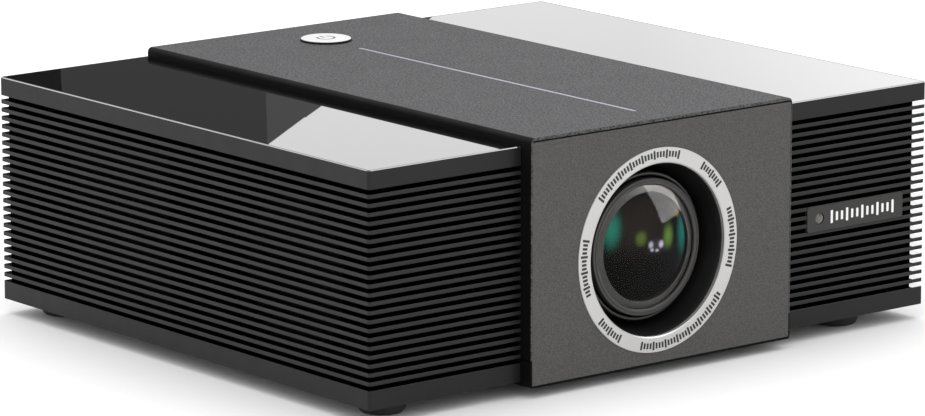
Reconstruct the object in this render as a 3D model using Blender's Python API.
"""Home projector: a grey centre body that holds the lens and light engine, between two louvred wings.

Frame: metres, +Z up, the front (lens side) faces -Y, the origin is at the middle of the footprint
on the surface that the feet stand on. Run with: blender --background --python part.py
"""

import math

import bmesh
import bpy
from mathutils import Matrix, Vector

# ---- driving dimensions, in metres -------------------------------------------------------------
WIDTH = 0.268
DEPTH = 0.2342
LEFT_WING_WIDTH = 0.0692
RIGHT_WING_WIDTH = 0.0734
WING_DEPTH = 0.2283
WING_HEIGHT = 0.0864
FOOT_HEIGHT = 0.0056
CENTRE_RISE = 0.0035  # how far the centre body stands above the wings
CENTRE_DROP = 0.0018  # how far it reaches below them
RING_PROUD = 0.0004  # the silver lens ring stands this far in front of the front panel
GAP = 0.0003  # between pieces that touch
FINE_GAP = 0.0001  # at seams that show

FIN_COUNT = 22
FIN_SHARE = 0.45  # of the louvre pitch that is fin and not slot
FIN_DEPTH = 0.0032  # of the louvres on the outer side
FRONT_FIN_DEPTH = 0.0039
REAR_FIN_DEPTH = 0.0010
BAND_HEIGHT = 0.0070  # the plain band above and below the louvres
GRILLE_WALL = 0.0015
WING_CORNER = 0.0012
TOP_PLATE_THICKNESS = 0.0016
PLATE_RIM = 0.0005  # thin rim of the grille round the glossy top plate

CASE_WALL = 0.0020
HOOD_CORNER = 0.0020
BASE_CORNER = 0.0010
CASE_EDGE = 0.0003  # chamfer round the ends of the case
FRONT_PANEL_THICKNESS = 0.0015
SIDE_LIP = 0.0006  # edge of the case that shows beside the front panel
TOP_LIP = 0.0010
BOTTOM_LIP = 0.0008
TOP_SEAM = 0.0006  # dark line between the case and the top of the panel
SEAT_CORNER = 0.0005

LENS_X = -0.0047
LENS_Z = 0.0467
RING_OUTER = 0.0381
RING_INNER = 0.0322
BARREL_RADIUS = 0.0256
FOCUS_SCREW_OFFSET = 0.0385

MIDLINE_X = -0.0016  # the button and the light bar lie on this line
BUTTON_RADIUS = 0.0099
BUTTON_PROUD = 0.0010
BUTTON_Y = 0.0856
BAR_FRONT_Y = -0.1002
BAR_REAR_Y = 0.0645
BAR_WIDTH = 0.0018

FAN_SIZE = 0.070
FAN_THICKNESS = 0.015
OPTIC_Y = 0.045  # where the light path turns at the fold mirror

# ---- positions that follow from them -----------------------------------------------------------
REAR_Y = DEPTH / 2
FRONT_Y = -DEPTH / 2 + RING_PROUD  # face of the front panel
WING_FRONT_Y = REAR_Y - WING_DEPTH
WING_Z0 = FOOT_HEIGHT
WING_Z1 = WING_Z0 + WING_HEIGHT
PLATE_LEDGE_Z = WING_Z1 - TOP_PLATE_THICKNESS - GAP
CENTRE_Z0 = WING_Z0 - CENTRE_DROP
CENTRE_Z1 = WING_Z1 + CENTRE_RISE
CENTRE_LEFT = -WIDTH / 2 + LEFT_WING_WIDTH
CENTRE_RIGHT = WIDTH / 2 - RIGHT_WING_WIDTH
SPLIT_Z = CENTRE_Z0 + 0.010  # seam between the hood and the base pan
FIN_ZONE = WING_HEIGHT - 2 * BAND_HEIGHT
FIN_PITCH = FIN_ZONE / (FIN_COUNT + 1 - FIN_SHARE)
FIN_THICKNESS = FIN_PITCH * FIN_SHARE
FIN_GAP = FIN_PITCH - FIN_THICKNESS

TO_FRONT = (math.pi / 2, 0, 0)  # turns local +Z to world -Y, and local +Y to world +Z
TO_RIGHT = (0, math.pi / 2, 0)  # turns local +Z to world +X
TO_LEFT = (0, -math.pi / 2, 0)  # turns local +Z to world -X
UPSIDE_DOWN = (-math.pi / 2, 0, 0)  # turns local +Y to world -Z, and local +Z to world +Y
TO_REAR = UPSIDE_DOWN
UPRIGHT = (0, 0, 0)


# ---- scene, materials and shape helpers --------------------------------------------------------
def clear_scene():
    for obj in list(bpy.data.objects):
        bpy.data.objects.remove(obj)


def material(name, colour, roughness, metallic=0.0):
    made = bpy.data.materials.new(name)
    made.use_nodes = True
    shader = made.node_tree.nodes["Principled BSDF"]
    shader.inputs["Base Color"].default_value = (*colour, 1)
    shader.inputs["Roughness"].default_value = roughness
    shader.inputs["Metallic"].default_value = metallic
    return made


def make_object(name, bm, mat, location=(0, 0, 0), rotation=UPRIGHT, smooth=False):
    """Ends a bmesh as a named object, placed by its location and rotation."""
    bmesh.ops.remove_doubles(bm, verts=bm.verts, dist=1e-7)
    bmesh.ops.recalc_face_normals(bm, faces=bm.faces)
    mesh = bpy.data.meshes.new(name)
    bm.to_mesh(mesh)
    bm.free()
    mesh.materials.append(mat)
    if smooth:
        mesh.shade_smooth()
        mesh.set_sharp_from_angle(angle=math.radians(35))
    obj = bpy.data.objects.new(name, mesh)
    bpy.context.scene.collection.objects.link(obj)
    obj.location = location
    obj.rotation_euler = rotation
    obj.parent = bpy.data.objects["projector"]
    return obj


def block(name, lo, hi, mat):
    """A box between two corners in the row frame, with its origin at its middle."""
    lo, hi = Vector(lo), Vector(hi)
    size, middle = hi - lo, (hi + lo) / 2
    bm = bmesh.new()
    bmesh.ops.create_cube(bm, size=1)
    bmesh.ops.scale(bm, vec=size, verts=bm.verts)
    return make_object(name, bm, mat, middle)


def chamfer(obj, width, angle):
    """Cuts the edges that are sharper than an angle in degrees."""
    modifier = obj.modifiers.new("edge", "BEVEL")
    modifier.width = width
    modifier.segments = 1
    modifier.limit_method = "ANGLE"
    modifier.angle_limit = math.radians(angle)


def prism(name, outline, z0, z1, mat, location=(0, 0, 0), rotation=UPRIGHT, smooth=False):
    """A flat outline in local X and Y, extruded from local z0 to z1."""
    bm = bmesh.new()
    face = bm.faces.new([bm.verts.new((x, y, z0)) for x, y in outline])
    made = bmesh.ops.extrude_face_region(bm, geom=[face])["geom"]
    risen = [v for v in made if isinstance(v, bmesh.types.BMVert)]
    bmesh.ops.translate(bm, vec=(0, 0, z1 - z0), verts=risen)
    return make_object(name, bm, mat, location, rotation, smooth)


def turned(name, profile, mat, location, rotation, segments=48, closed=True):
    """A profile of (radius, along) points spun round local Z. An open one starts and ends on the axis."""
    bm = bmesh.new()
    verts = [bm.verts.new((r, 0, z)) for r, z in profile]
    pairs = list(zip(verts, verts[1:]))
    if closed:
        pairs.append((verts[-1], verts[0]))
    edges = [bm.edges.new(pair) for pair in pairs]
    bmesh.ops.spin(
        bm, geom=verts + edges, cent=(0, 0, 0), axis=(0, 0, 1), dvec=(0, 0, 0),
        angle=2 * math.pi, steps=segments, use_merge=True, use_duplicate=False,
    )
    return make_object(name, bm, mat, location, rotation, smooth=True)


def disc(name, radius, z0, z1, mat, location, rotation=UPRIGHT, segments=32):
    profile = [(0, z0), (radius, z0), (radius, z1), (0, z1)]
    return turned(name, profile, mat, location, rotation, segments, closed=False)


def combine(target, other, operation):
    """Adds a Boolean, and hides the object that it uses from the model."""
    modifier = target.modifiers.new(operation.lower(), "BOOLEAN")
    modifier.object = other
    modifier.operation = operation
    modifier.solver = "EXACT"
    other.hide_render = True
    other.display_type = "WIRE"
    return target


def cut(target, other):
    return combine(target, other, "DIFFERENCE")


def join(target, other):
    return combine(target, other, "UNION")


def arc(cx, cy, radius, start, end, steps):
    """Points on an arc, angles in degrees."""
    turns = [math.radians(start + (end - start) * i / steps) for i in range(steps + 1)]
    return [(cx + radius * math.cos(t), cy + radius * math.sin(t)) for t in turns]


def rounded_rect(x0, y0, x1, y1, radius, steps=4):
    return [
        *arc(x1 - radius, y0 + radius, radius, -90, 0, steps),
        *arc(x1 - radius, y1 - radius, radius, 0, 90, steps),
        *arc(x0 + radius, y1 - radius, radius, 90, 180, steps),
        *arc(x0 + radius, y0 + radius, radius, 180, 270, steps),
    ]


def round_bore(name, radius, location, rotation, length, mat, segments=24):
    """A cutter for a round hole, centred on its location."""
    return disc(name, radius, -length / 2, length / 2, mat, location, rotation, segments)


# ---- materials ---------------------------------------------------------------------------------
clear_scene()
ROOT = bpy.data.objects.new("projector", None)
bpy.context.scene.collection.objects.link(ROOT)

GREY_METAL = material("grey_metal", (0.115, 0.115, 0.118), 0.42, 0.6)
BLACK_PLASTIC = material("black_plastic", (0.030, 0.030, 0.031), 0.45)
GLOSS_BLACK = material("gloss_black", (0.008, 0.008, 0.009), 0.05)
SATIN_BLACK = material("satin_black", (0.012, 0.012, 0.013), 0.4)
SILVER = material("silver", (0.62, 0.62, 0.61), 0.3, 0.9)
RUBBER = material("rubber", (0.015, 0.015, 0.015), 0.8)
OPTIC_GLASS = material("optic_glass", (0.05, 0.08, 0.09), 0.03)
MIRROR_GLASS = material("mirror_glass", (0.8, 0.8, 0.82), 0.03, 1.0)
DIFFUSER = material("diffuser", (0.40, 0.48, 0.75), 0.3)
BOARD_GREEN = material("board_green", (0.02, 0.12, 0.05), 0.5)
BARE_METAL = material("bare_metal", (0.55, 0.56, 0.57), 0.35, 1.0)
BRASS = material("brass", (0.65, 0.45, 0.18), 0.3, 1.0)
FILTER_FOAM = material("filter_foam", (0.010, 0.010, 0.010), 0.9)
CUTTER = material("cutter", (1, 0, 0), 0.5)


# ---- centre body -------------------------------------------------------------------------------
def case_section(x0, z0, x1, z1, wall, corner, steps=4):
    """An upturned channel: the top and both sides, with round top corners. It stands on z0."""
    inner = corner - wall if corner > wall else 0.0005
    return [
        (x0, z0),
        *arc(x0 + corner, z1 - corner, corner, 180, 90, steps),
        *arc(x1 - corner, z1 - corner, corner, 90, 0, steps),
        (x1, z0),
        (x1 - wall, z0),
        *arc(x1 - wall - inner, z1 - wall - inner, inner, 0, 90, steps),
        *arc(x0 + wall + inner, z1 - wall - inner, inner, 90, 180, steps),
        (x0 + wall, z0),
    ]


def screw_post(name, x, z, y0, y1, half, mat):
    """A square post that takes a rear panel screw."""
    return block(name, (x - half, y0, z - half), (x + half, y1, z + half), mat)


POST_HALF = 0.0036
POST_INSET = CASE_WALL + POST_HALF - 0.0004
SCREW_LEFT = CENTRE_LEFT + POST_INSET
SCREW_RIGHT = CENTRE_RIGHT - POST_INSET
SCREW_TOP = CENTRE_Z1 - POST_INSET
SCREW_LOW = CENTRE_Z0 + POST_INSET
REAR_PANEL_THICKNESS = 0.0025
REAR_PANEL_Y = REAR_Y - 0.0013  # its outer face
POST_REAR_Y = REAR_PANEL_Y - REAR_PANEL_THICKNESS - GAP
POST_FRONT_Y = POST_REAR_Y - 0.0065
SCREW_BORE = 0.0016
RIGHT_PORT_Y = (-0.012, 0.102)
LEFT_PORT_Y = (-0.040, 0.098)
SIDE_PORT_Z0, SIDE_PORT_Z1 = 0.0155, 0.0822


def centre_outline(side, bottom, top, corner, steps=2):
    """The centre body seen from the front, shrunk by an inset at each side, the bottom and the top."""
    return rounded_rect(CENTRE_LEFT + side, CENTRE_Z0 + bottom,
                        CENTRE_RIGHT - side, CENTRE_Z1 - top, corner, steps)


def plug_outline():
    """The inside of the case, less a gap."""
    inset = CASE_WALL + GAP
    return centre_outline(inset, inset, inset, 0.001)


def cut_panel_seat(case, name):
    """The shallow step in the case's front edge that the front panel sits in."""
    outline = centre_outline(SIDE_LIP, BOTTOM_LIP, TOP_LIP, SEAT_CORNER)
    back = -FRONT_Y - FRONT_PANEL_THICKNESS - GAP
    cut(case, prism(name, outline, back, -FRONT_Y + 0.002, CUTTER, rotation=TO_FRONT))


def make_hood():
    section = case_section(CENTRE_LEFT, SPLIT_Z + FINE_GAP, CENTRE_RIGHT, CENTRE_Z1, CASE_WALL, HOOD_CORNER)
    hood = prism("centre_hood", section, -REAR_Y, -FRONT_Y, GREY_METAL, rotation=TO_FRONT, smooth=True)
    chamfer(hood, CASE_EDGE, 60)
    cut_panel_seat(hood, "hood_panel_seat")
    for side, x in (("left", SCREW_LEFT), ("right", SCREW_RIGHT)):
        post = screw_post("hood_post_" + side, x, SCREW_TOP, POST_FRONT_Y, POST_REAR_Y, POST_HALF, CUTTER)
        join(hood, post)
        bore = round_bore("hood_bore_" + side, SCREW_BORE, (x, POST_REAR_Y, SCREW_TOP), TO_FRONT, 0.011,
                          CUTTER, 12)
        cut(hood, bore)
    button_place = (MIDLINE_X, BUTTON_Y, CENTRE_Z1)
    cut(hood, round_bore("button_hole", BUTTON_RADIUS + GAP, button_place, UPRIGHT, 0.01, CUTTER, 48))
    half = BAR_WIDTH / 2 + FINE_GAP
    cut(hood, block(
        "bar_slot",
        (MIDLINE_X - half, BAR_FRONT_Y - FINE_GAP, CENTRE_Z1 - 0.005),
        (MIDLINE_X + half, BAR_REAR_Y + FINE_GAP, CENTRE_Z1 + 0.005), CUTTER))
    # Openings in the side walls: the light engine passes through the right one, air through the left.
    for side, x, (y0, y1) in (("right", CENTRE_RIGHT, RIGHT_PORT_Y), ("left", CENTRE_LEFT, LEFT_PORT_Y)):
        cut(hood, block(side + "_port", (x - 0.005, y0, SIDE_PORT_Z0), (x + 0.005, y1, SIDE_PORT_Z1), CUTTER))


TRIPOD_Y = -0.030
TRIPOD_RADIUS = 0.0085


def make_base():
    height = SPLIT_Z - FINE_GAP - CENTRE_Z0
    section = case_section(CENTRE_LEFT, 0, CENTRE_RIGHT, height, CASE_WALL, BASE_CORNER)
    base = prism("centre_base", section, FRONT_Y, REAR_Y, BLACK_PLASTIC,
                 (0, 0, CENTRE_Z0 + height), UPSIDE_DOWN, smooth=True)
    chamfer(base, CASE_EDGE, 60)
    cut_panel_seat(base, "base_panel_seat")
    for side, x in (("left", SCREW_LEFT), ("right", SCREW_RIGHT)):
        post = screw_post("base_post_" + side, x, SCREW_LOW, POST_FRONT_Y, POST_REAR_Y, POST_HALF, CUTTER)
        join(base, post)
        bore = round_bore("base_bore_" + side, SCREW_BORE, (x, POST_REAR_Y, SCREW_LOW), TO_FRONT, 0.011,
                          CUTTER, 12)
        cut(base, bore)
    bush_place = (MIDLINE_X, TRIPOD_Y, CENTRE_Z0)
    cut(base, round_bore("tripod_hole", TRIPOD_RADIUS + 0.0002, bush_place, UPRIGHT, 0.01, CUTTER))


def make_tripod_bush():
    height, flange = 0.0075, 0.0018
    profile = [
        (0.0033, 0), (TRIPOD_RADIUS, 0), (TRIPOD_RADIUS, CASE_WALL + GAP),
        (TRIPOD_RADIUS + flange, CASE_WALL + GAP), (TRIPOD_RADIUS + flange, height), (0.0033, height),
    ]
    turned("tripod_bush", profile, BRASS, (MIDLINE_X, TRIPOD_Y, CENTRE_Z0), UPRIGHT, 24)


def make_front_panel():
    outline = centre_outline(SIDE_LIP + FINE_GAP, BOTTOM_LIP + FINE_GAP, TOP_LIP + TOP_SEAM,
                             SEAT_CORNER - FINE_GAP)
    panel = prism("front_panel", outline, -FRONT_Y - FRONT_PANEL_THICKNESS, -FRONT_Y, GREY_METAL,
                  rotation=TO_FRONT, smooth=True)
    # The plug behind the plate locates the panel inside the hood and the base.
    plug = prism("panel_plug", plug_outline(), -FRONT_Y - 0.0055, -FRONT_Y - 0.0010, CUTTER,
                 rotation=TO_FRONT)
    join(panel, plug)
    axis = (LENS_X, FRONT_Y, LENS_Z)
    cut(panel, round_bore("lens_opening", RING_OUTER - 0.0035, axis, TO_FRONT, 0.03, CUTTER, 48))
    cut(panel, disc("ring_seat", RING_OUTER + FINE_GAP, -0.0016, 0.004, CUTTER, axis, TO_FRONT, 48))


PORT_Z = 0.030
PORTS = {  # name: (x, width, height), each passing through the rear panel
    "mains_inlet": (-0.044, 0.0200, 0.0120),
    "hdmi_socket": (-0.008, 0.0170, 0.0075),
    "usb_socket": (0.018, 0.0155, 0.0080),
    "audio_socket": (0.039, 0.0090, 0.0090),
}


def make_rear_panel():
    panel = prism("rear_panel", plug_outline(), -REAR_PANEL_Y, -REAR_PANEL_Y + REAR_PANEL_THICKNESS,
                  BLACK_PLASTIC, rotation=TO_FRONT)
    for name, (x, width, height) in PORTS.items():
        half_w, half_h = width / 2 + 0.0002, height / 2 + 0.0002
        cut(panel, block(
            name + "_window", (x - half_w, REAR_PANEL_Y - 0.006, PORT_Z - half_h),
            (x + half_w, REAR_PANEL_Y + 0.004, PORT_Z + half_h), CUTTER))
    for x in (SCREW_LEFT, SCREW_RIGHT):
        for z in (SCREW_TOP, SCREW_LOW):
            place = (x, REAR_PANEL_Y, z)
            cut(panel, round_bore("panel_screw_hole", SCREW_BORE, place, TO_FRONT, 0.01, CUTTER, 12))


def make_rear_screws():
    """Pan-head screws with a slot, driven from behind into the posts."""
    number = 0
    for z in (SCREW_TOP, SCREW_LOW):
        for x in (SCREW_LEFT, SCREW_RIGHT):
            number += 1
            profile = [(0, -0.0075), (0.0013, -0.0075), (0.0013, 0), (0.0026, 0), (0.0022, 0.0011),
                       (0, 0.0011)]
            screw = turned(f"rear_screw_{number}", profile, BARE_METAL, (x, REAR_PANEL_Y + FINE_GAP, z),
                           TO_REAR, 12, closed=False)
            slot = block(f"screw_slot_{number}", (x - 0.004, REAR_PANEL_Y + 0.0008, z - 0.0003),
                         (x + 0.004, REAR_PANEL_Y + 0.004, z + 0.0003), CUTTER)
            cut(screw, slot)


# ---- wings -------------------------------------------------------------------------------------
def wing_box(side):
    """(inner x, outer x) of a wing, where side is -1 on the left and 1 on the right."""
    if side < 0:
        return CENTRE_LEFT - GAP, -WIDTH / 2
    return CENTRE_RIGHT + GAP, WIDTH / 2


def even(inset):
    """The same inset on the outer side, the front and the rear."""
    return inset, inset, inset


def wing_outline(side, insets, corner, steps=1):
    """The wing's open outline in plan, from its rear inner end round the outside to its front inner end."""
    inner, outer = wing_box(side)
    side_inset, front_inset, rear_inset = insets
    edge = outer - side * side_inset
    rear, front = REAR_Y - rear_inset, WING_FRONT_Y + front_inset
    centre = edge - side * corner
    rear_arc = arc(centre, rear - corner, corner, 90, 0 if side > 0 else 180, steps)
    front_arc = arc(centre, front + corner, corner, 0 if side > 0 else 180, -90 if side > 0 else 270, steps)
    return [(inner, rear), *rear_arc, *front_arc, (inner, front)]


FIN_INSETS = (FIN_DEPTH, FRONT_FIN_DEPTH, REAR_FIN_DEPTH)
WALL_INSETS = tuple(depth + GRILLE_WALL for depth in FIN_INSETS)


def fin_bottom(index):
    return WING_Z0 + BAND_HEIGHT + FIN_GAP + index * FIN_PITCH


def grille_profile():
    """(insets, height) round the section of the louvred wall: bands and fins outside, a plain wall inside."""
    face, rim, edge = even(0), even(PLATE_RIM), even(0.0003)
    profile = [(face, WING_Z0), (face, WING_Z0 + BAND_HEIGHT)]
    for index in range(FIN_COUNT):
        z = fin_bottom(index)
        profile += [(FIN_INSETS, z - FIN_GAP), (FIN_INSETS, z), (face, z), (face, z + FIN_THICKNESS)]
    gap = fin_bottom(FIN_COUNT - 1) + FIN_THICKNESS
    profile += [(FIN_INSETS, gap), (FIN_INSETS, gap + FIN_GAP), (face, gap + FIN_GAP)]
    profile += [(face, WING_Z1 - 0.0003), (edge, WING_Z1), (rim, WING_Z1), (rim, PLATE_LEDGE_Z)]
    profile += [(WALL_INSETS, PLATE_LEDGE_Z), (WALL_INSETS, WING_Z0)]
    return profile


def make_grille(name, side):
    bm = bmesh.new()
    loops = []
    for insets, z in grille_profile():
        corner = max(WING_CORNER - insets[0], 0.0004)
        loops.append([bm.verts.new((x, y, z)) for x, y in wing_outline(side, insets, corner)])
    count = len(loops)
    for i, loop in enumerate(loops):
        following = loops[(i + 1) % count]
        for a in range(len(loop) - 1):
            bm.faces.new((loop[a], loop[a + 1], following[a + 1], following[a]))
    bm.faces.new([loop[0] for loop in loops])
    bm.faces.new([loop[-1] for loop in loops])
    grille = make_object(name, bm, BLACK_PLASTIC)
    _, outer = wing_box(side)
    low = fin_bottom(1) + FIN_THICKNESS / 2
    high = fin_bottom(FIN_COUNT - 2) + FIN_THICKNESS / 2
    near, far = sorted((outer - side * (FIN_DEPTH - 0.0004), outer - side * (WALL_INSETS[0] + 0.002)))
    for label, y0, y1 in (("speaker", -0.092, -0.030), ("fan", 0.012, 0.078)):
        cut(grille, block(f"{name}_{label}_window", (near, y0, low), (far, y1, high), CUTTER))
    return grille


PLATE_LEFT = 0.0737
PLATE_RIGHT = 0.1225
PLATE_Z0 = fin_bottom(8) + FIN_THICKNESS - 0.0003
PLATE_Z1 = fin_bottom(11) + 0.0012
PLATE_FACE_Y = WING_FRONT_Y - 0.0002
PLATE_THICKNESS = 0.0014
RECEIVER_X = 0.0800
RECEIVER_RADIUS = 0.0021


def make_receiver(right_grille):
    """The badge plate on the right wing's front, with the window for the remote control's signal."""
    back = PLATE_FACE_Y + PLATE_THICKNESS
    pocket = block(
        "plate_pocket", (PLATE_LEFT - FINE_GAP, WING_FRONT_Y - 0.002, PLATE_Z0 - FINE_GAP),
        (PLATE_RIGHT + FINE_GAP, back + FINE_GAP, PLATE_Z1 + FINE_GAP), CUTTER)
    cut(right_grille, pocket)
    plate = block("receiver_plate", (PLATE_LEFT, PLATE_FACE_Y, PLATE_Z0), (PLATE_RIGHT, back, PLATE_Z1),
                  BLACK_PLASTIC)
    middle = (RECEIVER_X, PLATE_FACE_Y, (PLATE_Z0 + PLATE_Z1) / 2)
    cut(plate, round_bore("receiver_hole", RECEIVER_RADIUS + FINE_GAP, middle, TO_FRONT, 0.01, CUTTER, 24))
    disc("receiver_window", RECEIVER_RADIUS, -PLATE_THICKNESS, -0.0001, OPTIC_GLASS, middle, TO_FRONT, 24)


def make_top_plate(name, side):
    outline = wing_outline(side, even(PLATE_RIM + FINE_GAP), WING_CORNER - PLATE_RIM)
    prism(name, outline, WING_Z1 - TOP_PLATE_THICKNESS, WING_Z1, GLOSS_BLACK)


FLOOR_THICKNESS = 0.002
SLOT_COUNT = 5
SLOT_FIRST_Y, SLOT_PITCH = -0.032, 0.016
SLOT_LENGTH, SLOT_WIDTH = 0.040, 0.004


def make_floor(name, side):
    """The wing's bottom plate, inside its grille, with air slots."""
    inner, outer = wing_box(side)
    side_inset, front_inset, rear_inset = [inset + GAP for inset in WALL_INSETS]
    near, far = sorted((inner, outer - side * side_inset))
    floor = block(name, (near, WING_FRONT_Y + front_inset, WING_Z0),
                  (far, REAR_Y - rear_inset, WING_Z0 + FLOOR_THICKNESS), BLACK_PLASTIC)
    middle = (near + far) / 2
    half_length, half_width = SLOT_LENGTH / 2, SLOT_WIDTH / 2
    for index in range(SLOT_COUNT):
        y = SLOT_FIRST_Y + index * SLOT_PITCH
        cut(floor, block(f"{name}_slot_{index}", (middle - half_length, y - half_width, 0),
                         (middle + half_length, y + half_width, 0.02), CUTTER))


FOOT_INSET = 0.0155  # from the wing's front or rear edge
FOOT_MIDDLE_X = -0.0068
FOOT_SPREAD = 0.1096  # each side of that middle
FOOT_RADIUS = 0.0095


def make_feet():
    top = FOOT_HEIGHT - FINE_GAP
    profile = [(0, 0), (0.0072, 0), (0.0082, 0.0008), (FOOT_RADIUS, 0.0040), (FOOT_RADIUS, top), (0, top)]
    for end, y in (("front", WING_FRONT_Y + FOOT_INSET), ("rear", REAR_Y - FOOT_INSET)):
        for side, x in (("left", FOOT_MIDDLE_X - FOOT_SPREAD), ("right", FOOT_MIDDLE_X + FOOT_SPREAD)):
            turned(f"foot_{end}_{side}", profile, RUBBER, (x, y, 0), UPRIGHT, 20, closed=False)


# ---- lens and focus drive ----------------------------------------------------------------------
ENGINE_FRONT_Y = -0.062
RIM_DEPTH = 0.0064  # the lens rim sits this far behind the front panel's face at rest
SHOULDER_RADIUS = 0.0203  # the opening behind the front lens
LENS_AXIS = (LENS_X, FRONT_Y, LENS_Z)  # local z on this axis is measured forwards from the panel's face


def make_lens_surround():
    ring = [(RING_INNER, -0.0014), (RING_OUTER, -0.0014), (RING_OUTER, RING_PROUD - 0.0002),
            (RING_OUTER - 0.0002, RING_PROUD), (RING_INNER + 0.0004, RING_PROUD), (RING_INNER, 0)]
    turned("lens_ring", ring, SILVER, LENS_AXIS, TO_FRONT, 48)
    seat = RING_OUTER - 0.0035 - GAP
    mouth = RING_INNER + 0.0002
    well = [(mouth, -0.0017), (seat, -0.0017), (seat, -0.0060), (mouth - 0.0004, -0.0064),
            (0.0303, -0.0152), (0.0285, -0.0152), (0.0293, -0.0140)]
    turned("lens_well", well, SATIN_BLACK, LENS_AXIS, TO_FRONT, 40)


TUBE_OUTER = 0.0279
TUBE_INNER = BARREL_RADIUS + 0.0005
TUBE_FRONT = -0.0085
TUBE_FLANGE = 0.0310
NUT_Y = -0.0865
NUT_HALF = 0.0030


def make_guide_tube():
    """The fixed tube that the lens slides in, with a slot for the focus nut."""
    rear = FRONT_Y - ENGINE_FRONT_Y + GAP
    profile = [
        (TUBE_INNER, rear), (TUBE_FLANGE, rear), (TUBE_FLANGE, rear + 0.0025), (TUBE_OUTER, rear + 0.0025),
        (TUBE_OUTER, TUBE_FRONT - 0.0006), (TUBE_OUTER - 0.0006, TUBE_FRONT), (TUBE_INNER, TUBE_FRONT),
    ]
    tube = turned("lens_guide_tube", profile, SATIN_BLACK, LENS_AXIS, TO_FRONT, 36)
    lo = (LENS_X + 0.020, NUT_Y - 0.0115, LENS_Z - 0.0045)
    hi = (LENS_X + 0.032, NUT_Y + 0.0115, LENS_Z + 0.0045)
    cut(tube, block("nut_slot", lo, hi, CUTTER))


def glass_element(name, radius, origin, edge, front_bulge, rear_bulge, rings=3):
    """A lens element with a flat edge. Its faces bulge outwards, or inwards where the height is negative."""
    rear, front = edge
    steps = [i / rings for i in range(rings + 1)]
    face = [(radius * s, front + front_bulge * (1 - s * s)) for s in steps]
    back = [(radius * s, rear - rear_bulge * (1 - s * s)) for s in reversed(steps)]
    turned(name, face + back, OPTIC_GLASS, origin, TO_FRONT, 28, closed=False)


def make_lens_barrel():
    """The moving tube, its rim and its glass elements. Local z 0 is the front of the rim."""
    origin = (LENS_X, FRONT_Y + RIM_DEPTH, LENS_Z)
    r, bore, rim = BARREL_RADIUS, BARREL_RADIUS - 0.0020, 0.0232
    barrel = [
        (0.0231, -0.0015), (0.0231, -0.0021), (r, -0.0021), (r, -0.0400), (0.0200, -0.0400),
        (0.0200, -0.0385), (bore, -0.0385), (bore, -0.0031), (SHOULDER_RADIUS, -0.0024),
        (SHOULDER_RADIUS, -0.0005),
    ]
    turned("lens_barrel", barrel, SATIN_BLACK, origin, TO_FRONT, 36)
    retaining_ring = [
        (rim, -0.0005), (0.0237, 0), (r - 0.0005, 0), (r, -0.0005), (r, -0.0018), (0.0239, -0.0018),
        (rim, -0.0012),
    ]
    turned("lens_rim", retaining_ring, SATIN_BLACK, origin, TO_FRONT, 40)
    inner = bore - 0.0004
    glass_element("front_lens", 0.0230, origin, (-0.0010, -0.0005), front_bulge=0.0036, rear_bulge=-0.0035)
    glass_element("middle_lens", inner, origin, (-0.0066, -0.0040), front_bulge=0.0006, rear_bulge=-0.0010)
    glass_element("rear_lens", inner, origin, (-0.0350, -0.0320), front_bulge=0.0018, rear_bulge=0.0018)


def make_focus_drive():
    """Motor, lead screw and bracket beside the lens. The nut is fixed to the barrel and moves with it."""
    x = LENS_X + FOCUS_SCREW_OFFSET
    screw_front, screw_rear = -0.0990, -0.0730
    origin = (x, (screw_front + screw_rear) / 2, LENS_Z)
    half = (screw_rear - screw_front) / 2
    radius, core, turns = 0.0020, 0.0016, 6
    pitch = (2 * half - 0.0020) / turns
    profile = [(0, -half), (core, -half)]
    for index in range(turns):
        z = -half + 0.0010 + index * pitch
        profile += [(core, z), (radius, z + 0.3 * pitch), (radius, z + 0.5 * pitch), (core, z + 0.8 * pitch)]
    profile += [(core, half), (0, half)]
    turned("focus_screw", profile, BARE_METAL, origin, TO_FRONT, 12, closed=False)

    inner_x = LENS_X + BARREL_RADIUS - 0.0004
    nut = block("focus_nut", (inner_x, NUT_Y - NUT_HALF, LENS_Z - 0.0038),
                (x + 0.0045, NUT_Y + NUT_HALF, LENS_Z + 0.0038), BRASS)
    cut(nut, round_bore("nut_bore", radius + 0.0003, (x, NUT_Y, LENS_Z), TO_FRONT, 0.02, CUTTER, 16))
    axis = (LENS_X, NUT_Y, LENS_Z)
    cut(nut, round_bore("nut_seat", BARREL_RADIUS + FINE_GAP, axis, TO_FRONT, 0.02, CUTTER, 48))

    ear, floor_z = 0.0015, LENS_Z - 0.0070
    bracket = block("focus_bracket", (x - 0.0055, screw_front - 0.0010, floor_z - 0.0020),
                    (x + 0.0080, screw_rear + 0.0025, floor_z), BARE_METAL)
    for end, y in (("front", screw_front - 0.0010), ("rear", screw_rear + 0.0010)):
        lo, hi = (x - 0.0050, y, floor_z - 0.0010), (x + 0.0075, y + ear, LENS_Z + 0.0055)
        join(bracket, block(f"ear_{end}", lo, hi, CUTTER))
    cut(bracket, round_bore("ear_bore", core + 0.0003, origin, TO_FRONT, 0.06, CUTTER, 12))
    motor_front = screw_rear + 0.0010 + ear + GAP
    disc("focus_motor", 0.0065, 0, 0.0070, BARE_METAL, (x, motor_front + 0.0070, LENS_Z), TO_FRONT, 20)


# ---- light engine ------------------------------------------------------------------------------
ENGINE_LEFT, ENGINE_RIGHT = -0.058, 0.046
ENGINE_REAR_Y = 0.1015
ENGINE_Z0, ENGINE_Z1 = 0.0125, 0.0820
ENGINE_WALL = 0.002
PANEL_HALF_Y, PANEL_HALF_Z = 0.050, 0.029  # half the picture panel


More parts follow.
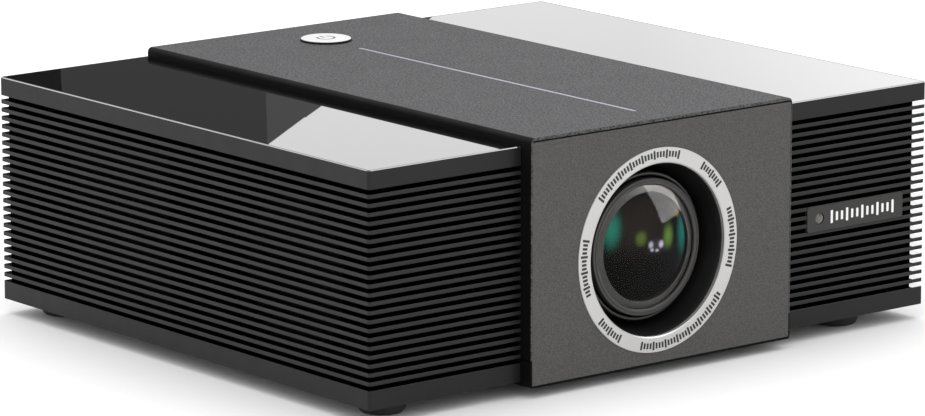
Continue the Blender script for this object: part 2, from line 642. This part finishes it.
def make_engine_case():
    housing = block("engine_housing", (ENGINE_LEFT, ENGINE_FRONT_Y, ENGINE_Z0),
                    (ENGINE_RIGHT, ENGINE_REAR_Y, ENGINE_Z1), SATIN_BLACK)
    w = ENGINE_WALL
    cut(housing, block("engine_inside", (ENGINE_LEFT + w, ENGINE_FRONT_Y + w, ENGINE_Z0 + w),
                       (ENGINE_RIGHT - w, ENGINE_REAR_Y - w, ENGINE_Z1 + 0.01), CUTTER))
    port_place = (LENS_X, ENGINE_FRONT_Y, LENS_Z)
    cut(housing, round_bore("lens_port", TUBE_INNER, port_place, TO_FRONT, 0.01, CUTTER, 48))
    half_y, half_z = PANEL_HALF_Y - 0.003, PANEL_HALF_Z - 0.002
    cut(housing, block("panel_port", (ENGINE_RIGHT - 0.01, OPTIC_Y - half_y, LENS_Z - half_z),
                       (ENGINE_RIGHT + 0.01, OPTIC_Y + half_y, LENS_Z + half_z), CUTTER))
    block("engine_cover", (ENGINE_LEFT, ENGINE_FRONT_Y, ENGINE_Z1 + FINE_GAP),
          (ENGINE_RIGHT, ENGINE_REAR_Y, ENGINE_Z1 + 0.0016), SATIN_BLACK)


def upright_plate(name, x0, x1, half_y, half_z, mat):
    return block(name, (x0, OPTIC_Y - half_y, LENS_Z - half_z), (x1, OPTIC_Y + half_y, LENS_Z + half_z), mat)


def make_optics():
    low = LENS_Z - ENGINE_Z0 - ENGINE_WALL - GAP  # half height that stands on the housing's floor
    upright_plate("field_lens", 0.0360, 0.0378, PANEL_HALF_Y + 0.003, low, OPTIC_GLASS)
    upright_plate("picture_panel", 0.0398, 0.0426, PANEL_HALF_Y + 0.003, low, SATIN_BLACK)
    upright_plate("collimator_lens", ENGINE_RIGHT + GAP, ENGINE_RIGHT + 0.0023, PANEL_HALF_Y,
                  PANEL_HALF_Z + 0.002, OPTIC_GLASS)
    length, thickness = 0.106, 0.002
    outline = [(-length / 2, 0), (length / 2, 0), (length / 2, thickness), (-length / 2, thickness)]
    prism("fold_mirror", outline, -low, low, MIRROR_GLASS, (LENS_X, OPTIC_Y, LENS_Z),
          (0, 0, math.radians(45)))


LED_X = 0.0955  # face of the light source board


def make_light_source():
    cone_start, cone_end = ENGINE_RIGHT + 0.0026, LED_X - 0.0085
    wall = 0.0015
    loops = []
    bm = bmesh.new()
    sizes = [(cone_start, PANEL_HALF_Y, PANEL_HALF_Z), (cone_end, 0.0165, 0.0165)]
    for shrink in (0, wall):
        for x, half_y, half_z in sizes:
            a, b = half_y - shrink, half_z - shrink
            corners = [(-a, -b), (a, -b), (a, b), (-a, b)]
            loops.append([bm.verts.new((x, OPTIC_Y + y, LENS_Z + z)) for y, z in corners])
    outer_start, outer_end, inner_start, inner_end = loops
    ring = [outer_start, outer_end, inner_end, inner_start, outer_start]
    for first, second in zip(ring, ring[1:]):
        for i in range(4):
            j = (i + 1) % 4
            bm.faces.new((first[i], first[j], second[j], second[i]))
    make_object("light_cone", bm, BARE_METAL)

    face = [(0, 0), (0.0155, 0), (0.0155, 0.0015)]
    turns = [math.radians(a) for a in (22, 45, 67)]
    dome = [(0.0155 * math.cos(t), 0.0015 + 0.0055 * math.sin(t)) for t in turns]
    turned("condenser_lens", face + dome + [(0, 0.0070)], OPTIC_GLASS, (LED_X - GAP, OPTIC_Y, LENS_Z),
           TO_LEFT, 20, closed=False)
    half = 0.020
    block("led_board", (LED_X, OPTIC_Y - half, LENS_Z - half),
          (LED_X + 0.0016, OPTIC_Y + half, LENS_Z + half), BRASS)

    base_x, tip_x, half = LED_X + 0.0019, 0.1118, 0.032
    fins, pitch = 11, 0.0060
    outline = [(base_x, -half), (base_x, half), (base_x + 0.003, half)]
    for index in range(fins):
        y = half - 0.0015 - index * pitch
        outline += [(base_x + 0.003, y), (tip_x, y), (tip_x, y - 0.0012), (base_x + 0.003, y - 0.0012)]
    outline += [(base_x + 0.003, -half)]
    prism("heat_sink", outline, -half, half, BARE_METAL, (0, OPTIC_Y, LENS_Z))


# ---- fans, filters and speakers ----------------------------------------------------------------
FAN_BORE = 0.0325
HUB_RADIUS = 0.0145
FAN_CENTRE_X = WIDTH / 2 - FIN_DEPTH - GRILLE_WALL - 0.0014 - FAN_THICKNESS / 2


def make_fan(prefix, side):
    """An axial fan whose axis is X. The rotor turns on a shaft in the frame's hub."""
    centre = (side * FAN_CENTRE_X, OPTIC_Y, LENS_Z)
    half, t = FAN_SIZE / 2, FAN_THICKNESS / 2
    outline = rounded_rect(-half, -half, half, half, 0.004, 2)
    frame = prism(prefix + "_fan_frame", outline, -t, t, SATIN_BLACK, centre, TO_RIGHT)
    cut(frame, round_bore(prefix + "_fan_bore", FAN_BORE, centre, TO_RIGHT, 0.04, CUTTER, 32))
    x = centre[0] + t - 0.0012
    spoke, reach = 0.0020, FAN_BORE + 0.0015
    for name, half_y, half_z in (("_spoke_y", reach, spoke), ("_spoke_z", spoke, reach)):
        join(frame, block(prefix + name, (x - 0.0012, OPTIC_Y - half_y, LENS_Z - half_z),
                          (x + 0.001, OPTIC_Y + half_y, LENS_Z + half_z), CUTTER))
    seat_place = (x, OPTIC_Y, LENS_Z)
    join(frame, disc(prefix + "_motor_seat", 0.0125, -0.0014, 0.0009, CUTTER, seat_place, TO_RIGHT, 16))
    cut(frame, round_bore(prefix + "_shaft_bore", 0.0018, centre, TO_RIGHT, 0.04, CUTTER, 12))

    hub = [(0, -0.0060), (HUB_RADIUS - 0.001, -0.0060), (HUB_RADIUS, -0.0050), (HUB_RADIUS, 0.0040),
           (0.0015, 0.0040), (0.0015, 0.0066), (0, 0.0066)]
    rotor = turned(prefix + "_fan_rotor", hub, SATIN_BLACK, centre, TO_RIGHT, 16, closed=False)
    blades = 7
    for index in range(blades):
        join(rotor, make_blade(f"{prefix}_blade_{index}", centre, 2 * math.pi * index / blades))


def make_blade(name, centre, turn):
    """One pitched blade, from inside the hub to just short of the bore."""
    bm = bmesh.new()
    stations = ((HUB_RADIUS - 0.0015, 0.0062, 38), (0.0235, 0.0085, 32), (FAN_BORE - 0.0022, 0.0105, 26))
    thickness = 0.0005
    loops = []
    for radius, half_chord, pitch in stations:
        c, s = math.cos(math.radians(pitch)), math.sin(math.radians(pitch))
        along, normal = Vector((0, c, s)) * half_chord, Vector((0, -s, c)) * thickness
        along *= min(1.0, 0.0046 / (half_chord * s))  # stays within the hub's length
        corners = [-along - normal, along - normal, along + normal, -along + normal]
        loops.append([bm.verts.new(Vector((radius, 0, -0.001)) + p) for p in corners])
    for first, second in zip(loops, loops[1:]):
        for i in range(4):
            j = (i + 1) % 4
            bm.faces.new((first[i], first[j], second[j], second[i]))
    bm.faces.new(loops[0])
    bm.faces.new(loops[-1])
    bmesh.ops.rotate(bm, cent=(0, 0, 0), matrix=Matrix.Rotation(turn, 3, "Z"), verts=bm.verts)
    return make_object(name, bm, CUTTER, centre, TO_RIGHT)


def make_filter():
    """A thin dust screen inside the left grille, where air is drawn in."""
    x = -WIDTH / 2 + FIN_DEPTH + GRILLE_WALL + GAP
    block("dust_filter", (x, 0.002, WING_Z0 + 0.009), (x + 0.0008, 0.088, WING_Z1 - 0.009), FILTER_FOAM)


SPEAKER_Y = -0.061


def make_speaker(prefix, side):
    """A driver behind the wing's front window: basket, magnet and cone in one."""
    face_x = side * (WIDTH / 2 - FIN_DEPTH - GRILLE_WALL - 0.0014)
    profile = [(0, -0.0210), (0.0150, -0.0210), (0.0150, -0.0130), (0.0245, -0.0024), (0.0285, -0.0020),
               (0.0285, 0),
               (0.0225, 0), (0.0205, -0.0012), (0.0075, -0.0065), (0, -0.0050)]
    turned(prefix + "_speaker", profile, SATIN_BLACK, (face_x, SPEAKER_Y, LENS_Z),
           TO_RIGHT if side > 0 else TO_LEFT, 24, closed=False)


# ---- electronics -------------------------------------------------------------------------------
MAIN_BOARD_Y = 0.1045


def make_boards():
    block("main_board", (CENTRE_LEFT + 0.007, MAIN_BOARD_Y, 0.0165),
          (CENTRE_RIGHT - 0.007, MAIN_BOARD_Y + 0.0016, 0.0780), BOARD_GREEN)
    power = block("power_board", (-0.108, -0.022, 0.0200), (-0.069, 0.092, 0.0216), BOARD_GREEN)
    join(power, block("transformer", (-0.104, 0.040, 0.0210), (-0.076, 0.068, 0.0450), CUTTER))
    join(power, disc("mains_capacitor", 0.0090, 0, 0.031, CUTTER, (-0.088, 0.015, 0.0210), UPRIGHT, 16))


def make_sockets():
    """Sockets stand on the main board and pass through the rear panel."""
    front = MAIN_BOARD_Y + 0.0019
    wall = 0.0012
    cavity_depth = 0.0085
    for name, (x, width, height) in PORTS.items():
        mat = BARE_METAL if name in ("hdmi_socket", "usb_socket") else SATIN_BLACK
        body = block(name, (x - width / 2, front, PORT_Z - height / 2),
                     (x + width / 2, REAR_PANEL_Y + 0.0002, PORT_Z + height / 2), mat)
        if name == "audio_socket":
            mouth_place = (x, REAR_PANEL_Y, PORT_Z)
            bore = round_bore(name + "_bore", 0.00175, mouth_place, TO_FRONT, 2 * cavity_depth, CUTTER, 20)
            cut(body, bore)
            continue
        half_w, half_h = width / 2 - wall, height / 2 - wall
        mouth = block(name + "_mouth", (x - half_w, REAR_PANEL_Y - cavity_depth, PORT_Z - half_h),
                      (x + half_w, REAR_PANEL_Y + 0.004, PORT_Z + half_h), CUTTER)
        cut(body, mouth)


def make_top_controls():
    # The cap stands proud of the hood, and its stem reaches down to the switch.
    flange = BUTTON_RADIUS + 0.0012
    cap = [(0, -0.0050), (0.0020, -0.0050), (0.0020, -0.0034), (flange, -0.0034), (flange, -0.0024),
           (BUTTON_RADIUS, -0.0024),
           (BUTTON_RADIUS, BUTTON_PROUD - 0.0003), (BUTTON_RADIUS - 0.0003, BUTTON_PROUD), (0, BUTTON_PROUD)]
    turned("power_button", cap, SILVER, (MIDLINE_X, BUTTON_Y, CENTRE_Z1), UPRIGHT, 32, closed=False)
    board_top = CENTRE_Z1 - 0.0080
    board = block("switch_board", (MIDLINE_X - 0.012, BUTTON_Y - 0.012, board_top - 0.0012),
                  (MIDLINE_X + 0.012, BUTTON_Y + 0.012, board_top), BOARD_GREEN)
    join(board, block("switch_body", (MIDLINE_X - 0.003, BUTTON_Y - 0.003, board_top - 0.0006),
                      (MIDLINE_X + 0.003, BUTTON_Y + 0.003, board_top + 0.0018), CUTTER))
    half = BAR_WIDTH / 2
    block("light_bar", (MIDLINE_X - half, BAR_FRONT_Y, CENTRE_Z1 - 0.0030),
          (MIDLINE_X + half, BAR_REAR_Y, CENTRE_Z1), DIFFUSER)
    block("light_bar_board", (MIDLINE_X - 0.004, BAR_FRONT_Y, CENTRE_Z1 - 0.0044),
          (MIDLINE_X + 0.004, BAR_REAR_Y, CENTRE_Z1 - 0.0033), BOARD_GREEN)


def main():
    make_hood()
    make_base()
    make_tripod_bush()
    make_front_panel()
    make_rear_panel()
    make_rear_screws()
    make_grille("left_grille", -1)
    right_grille = make_grille("right_grille", 1)
    make_receiver(right_grille)
    for label, side in (("left", -1), ("right", 1)):
        make_top_plate(label + "_top_plate", side)
        make_floor(label + "_floor", side)
        make_speaker(label, side)
    make_filter()
    make_feet()
    make_lens_surround()
    make_guide_tube()
    make_lens_barrel()
    make_focus_drive()
    make_engine_case()
    make_optics()
    make_light_source()
    make_fan("intake", -1)
    make_fan("exhaust", 1)
    make_boards()
    make_sockets()
    make_top_controls()


main()
